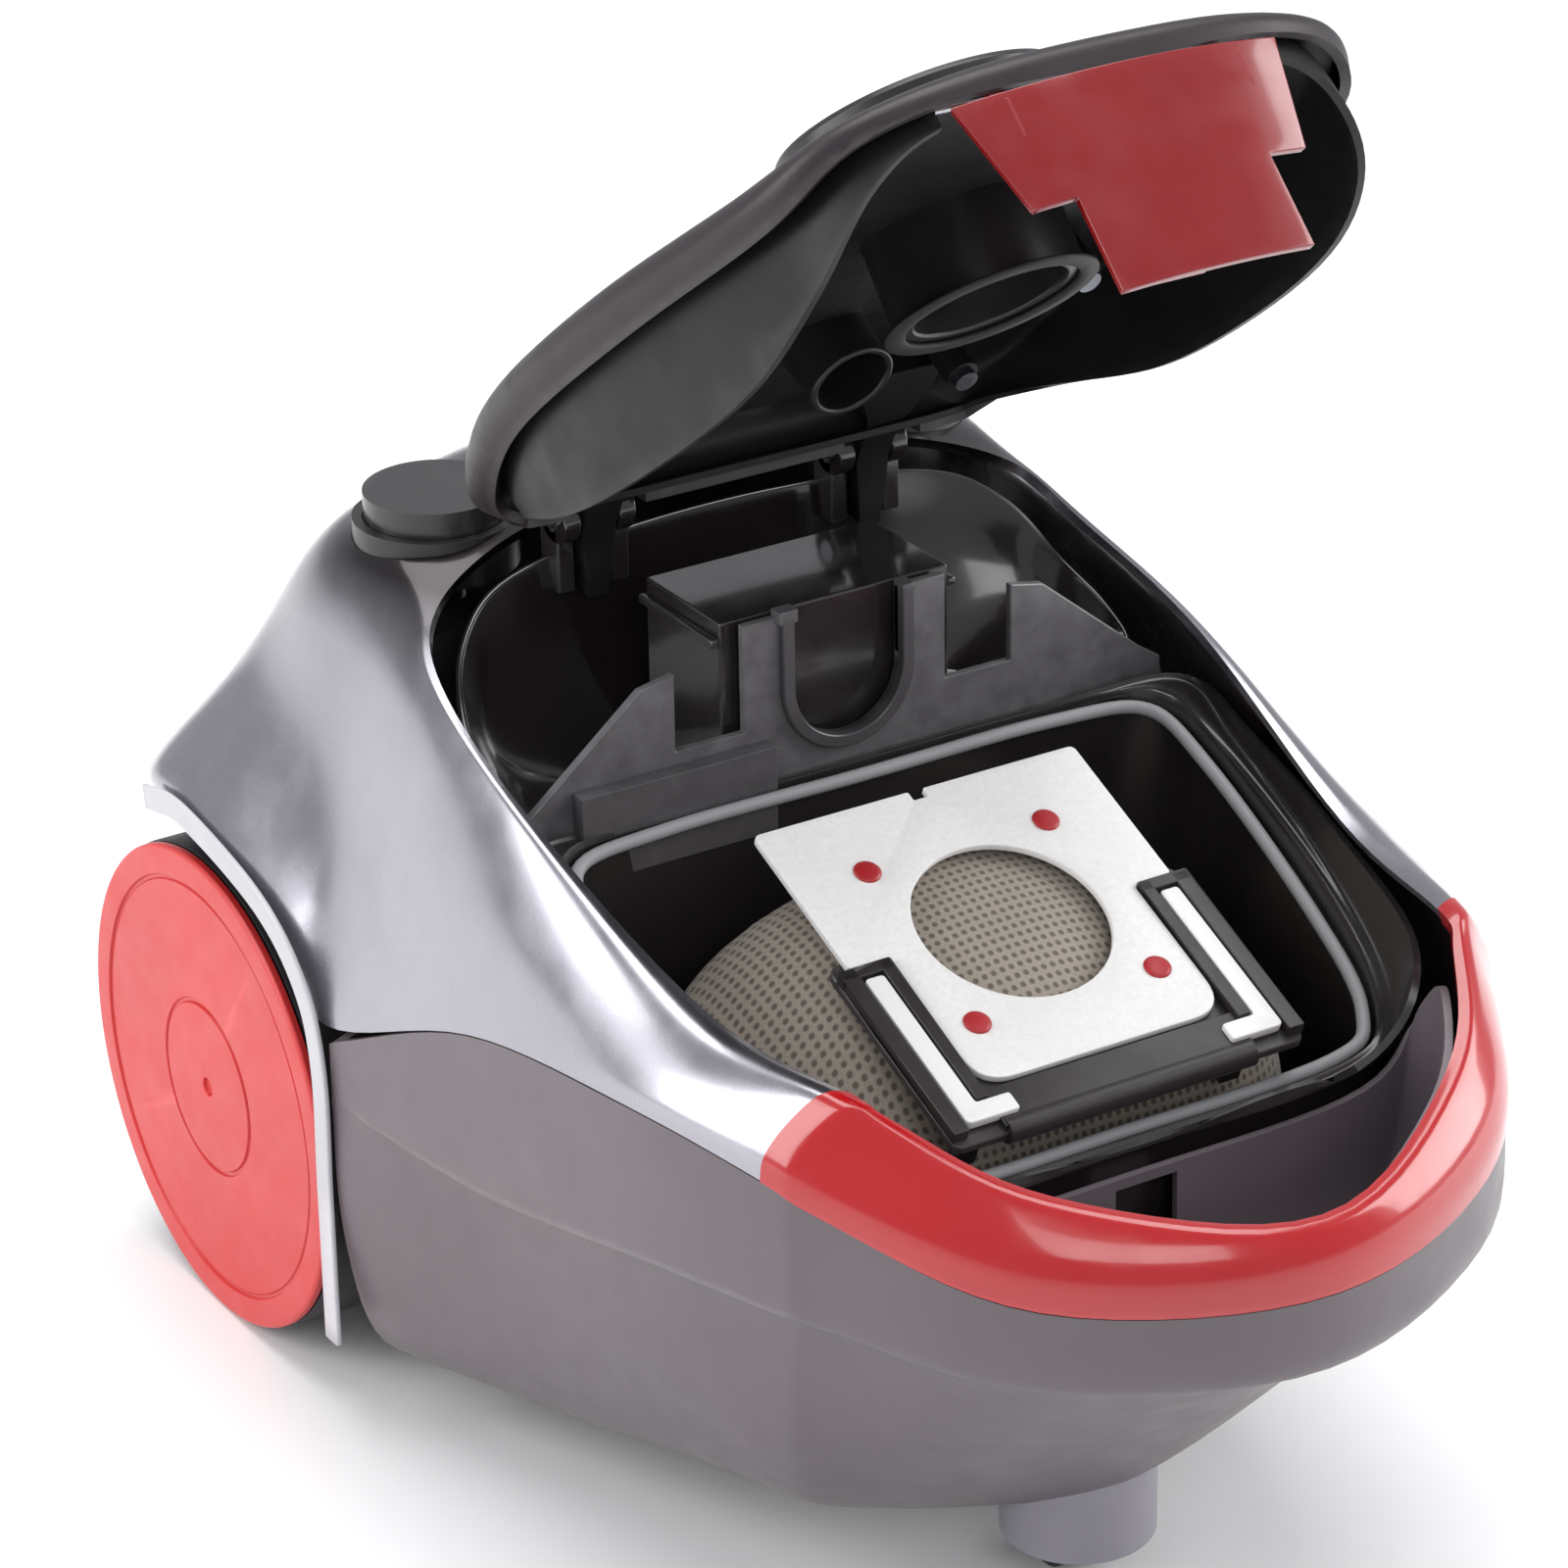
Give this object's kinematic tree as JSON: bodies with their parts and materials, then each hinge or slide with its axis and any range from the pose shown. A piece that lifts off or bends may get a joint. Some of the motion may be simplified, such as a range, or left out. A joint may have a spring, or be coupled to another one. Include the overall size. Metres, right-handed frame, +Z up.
{
  "type": "canister vacuum cleaner",
  "caption": "Bagged canister vacuum cleaner, standing open: boat-shaped housing on two rear wheels and a front caster, hinged lid with hose socket and finger latch, dust bag on a card collar.",
  "frame": {"origin": "centre of the bounding box's footprint, on the floor", "axes": "+Z up, -Y towards the front bow with the caster, +X towards the right wheel"},
  "size_m": [0.253, 0.4129, 0.4053],
  "materials": {
    "housing_dark": "satin",
    "housing_silver": "metallic silver, polished",
    "trim_red": "gloss",
    "edge_grey": "satin",
    "tray_grey": "matte",
    "chamber_black": "satin",
    "seal_grey": "matte",
    "partition_grey": "satin",
    "cover_black": "gloss",
    "holder_black": "satin",
    "clip_white": "satin",
    "collar_card": "coated card",
    "rivet_red": "satin",
    "bag_fabric": "non-woven cloth with fine dots",
    "filter_frame": "matte",
    "filter_media": "felt",
    "mount_rubber": "matte",
    "shroud_alloy": "drawn sheet",
    "motor_steel": "zinc plated",
    "impeller_alloy": "bright",
    "shaft_steel": "ground",
    "reel_frame": "matte",
    "reel_drum": "satin",
    "lever_white": "satin",
    "switch_black": "satin",
    "well_black": "satin",
    "spring_steel": "bright wire",
    "pedal_black": "satin",
    "grille_grey": "satin",
    "outlet_black": "satin",
    "wheel_black": "matte",
    "wheel_red": "satin",
    "caster_grey": "satin",
    "fork_black": "satin",
    "caster_tyre": "matte",
    "lid_charcoal": "fine grain",
    "liner_charcoal": "satin",
    "socket_black": "satin",
    "gasket_rubber": "matte",
    "latch_red": "gloss, slightly translucent",
    "pin_steel": "ground",
    "screw_steel": "zinc plated"
  },
  "bodies": {
    "housing": {"lower_housing": "housing_dark", "upper_housing": "housing_silver", "bumper_trim": "trim_red", "arch_trims": "edge_grey", "front_tray": "tray_grey", "dust_chamber": "chamber_black", "chamber_seal": "seal_grey", "partition_wall": "partition_grey", "motor_cover": "cover_black", "hinge_pins": "pin_steel", "bag_holder": "holder_black", "bag_clips": "clip_white", "bag_collar": "collar_card", "collar_rivets": "rivet_red", "dust_bag": "bag_fabric", "filter_frame": "filter_frame", "motor_filter": "filter_media", "motor_front_mount": "mount_rubber", "fan_shroud": "shroud_alloy", "motor_can": "motor_steel", "motor_rear_mount": "mount_rubber", "reel_frame": "reel_frame", "reel_axle": "pin_steel", "switch_box": "switch_black", "pedal_wells": "well_black", "pedal_springs": "spring_steel", "exhaust_filter": "filter_media", "exhaust_grille": "grille_grey", "cord_outlet": "outlet_black", "wheel_axles": "pin_steel", "axle_clips": "spring_steel", "caster_socket": "caster_grey", "housing_screws": "screw_steel"},
    "lid": {"lid_cover": "lid_charcoal", "lid_liner": "liner_charcoal", "hose_socket": "socket_black", "socket_gasket": "gasket_rubber", "relief_port": "socket_black", "latch_pin": "pin_steel", "latch_spring": "spring_steel", "lid_screws": "screw_steel"},
    "latch": {"lid_latch": "latch_red"},
    "power_pedal": {"power_pedal": "pedal_black"},
    "rewind_pedal": {"rewind_pedal": "pedal_black"},
    "brake": {"brake_lever": "lever_white"},
    "left_wheel": {"left_wheel": "wheel_black", "left_hub_cap": "wheel_red"},
    "right_wheel": {"right_wheel": "wheel_black", "right_hub_cap": "wheel_red"},
    "caster_fork": {"caster_fork": "fork_black", "caster_axle": "pin_steel"},
    "caster_wheel": {"caster_wheel": "caster_tyre"},
    "rotor": {"fan_impeller": "impeller_alloy", "motor_shaft": "shaft_steel"},
    "reel": {"reel_drum": "reel_drum"}
  },
  "joints": [
    {"name": "lid_hinge", "type": "hinge", "parent": "housing", "child": "lid", "pos_m": [0, 0.062, 0.242], "axis": [-1, 0, 0], "range_deg": [-63, 0]},
    {"name": "lid_latch", "type": "hinge", "parent": "lid", "child": "latch", "pos_m": [0, -0.10443, 0.39682], "axis": [-1, 0, 0], "range_deg": [0, 15], "stiffness_Nm_per_rad": 0.35, "springref_deg": -11.46},
    {"name": "power_pedal", "type": "slide", "parent": "housing", "child": "power_pedal", "axis": [0, 0, -1], "range_m": [0, 0.004], "stiffness_N_per_m": 900, "springref_m": -0.003},
    {"name": "rewind_pedal", "type": "slide", "parent": "housing", "child": "rewind_pedal", "axis": [0, 0, -1], "range_m": [0, 0.004], "stiffness_N_per_m": 900, "springref_m": -0.003},
    {"name": "brake_lever", "type": "hinge", "parent": "housing", "child": "brake", "pos_m": [0.068, 0.12, 0.176], "axis": [1, 0, 0], "range_deg": [0, 9]},
    {"name": "left_wheel", "type": "hinge", "parent": "housing", "child": "left_wheel", "pos_m": [-0.112, 0.1345, 0.068], "axis": [1, 0, 0], "continuous": true},
    {"name": "right_wheel", "type": "hinge", "parent": "housing", "child": "right_wheel", "pos_m": [0.112, 0.1345, 0.068], "axis": [1, 0, 0], "continuous": true},
    {"name": "caster_swivel", "type": "hinge", "parent": "housing", "child": "caster_fork", "pos_m": [0, -0.1, 0.026], "axis": [0, 0, 1], "continuous": true},
    {"name": "caster_wheel", "type": "hinge", "parent": "caster_fork", "child": "caster_wheel", "pos_m": [0, -0.095, 0.0105], "axis": [1, 0, 0], "continuous": true},
    {"name": "motor_rotor", "type": "hinge", "parent": "housing", "child": "rotor", "pos_m": [0, 0.07, 0.106], "axis": [0, 1, 0], "continuous": true},
    {"name": "cord_reel", "type": "hinge", "parent": "housing", "child": "reel", "pos_m": [0, 0.158, 0.096], "axis": [0, 1, 0], "continuous": true}
  ],
  "couplings": [
    {"joint": "brake_lever", "follows": "rewind_pedal", "rad_per_m": 38.46}
  ]
}
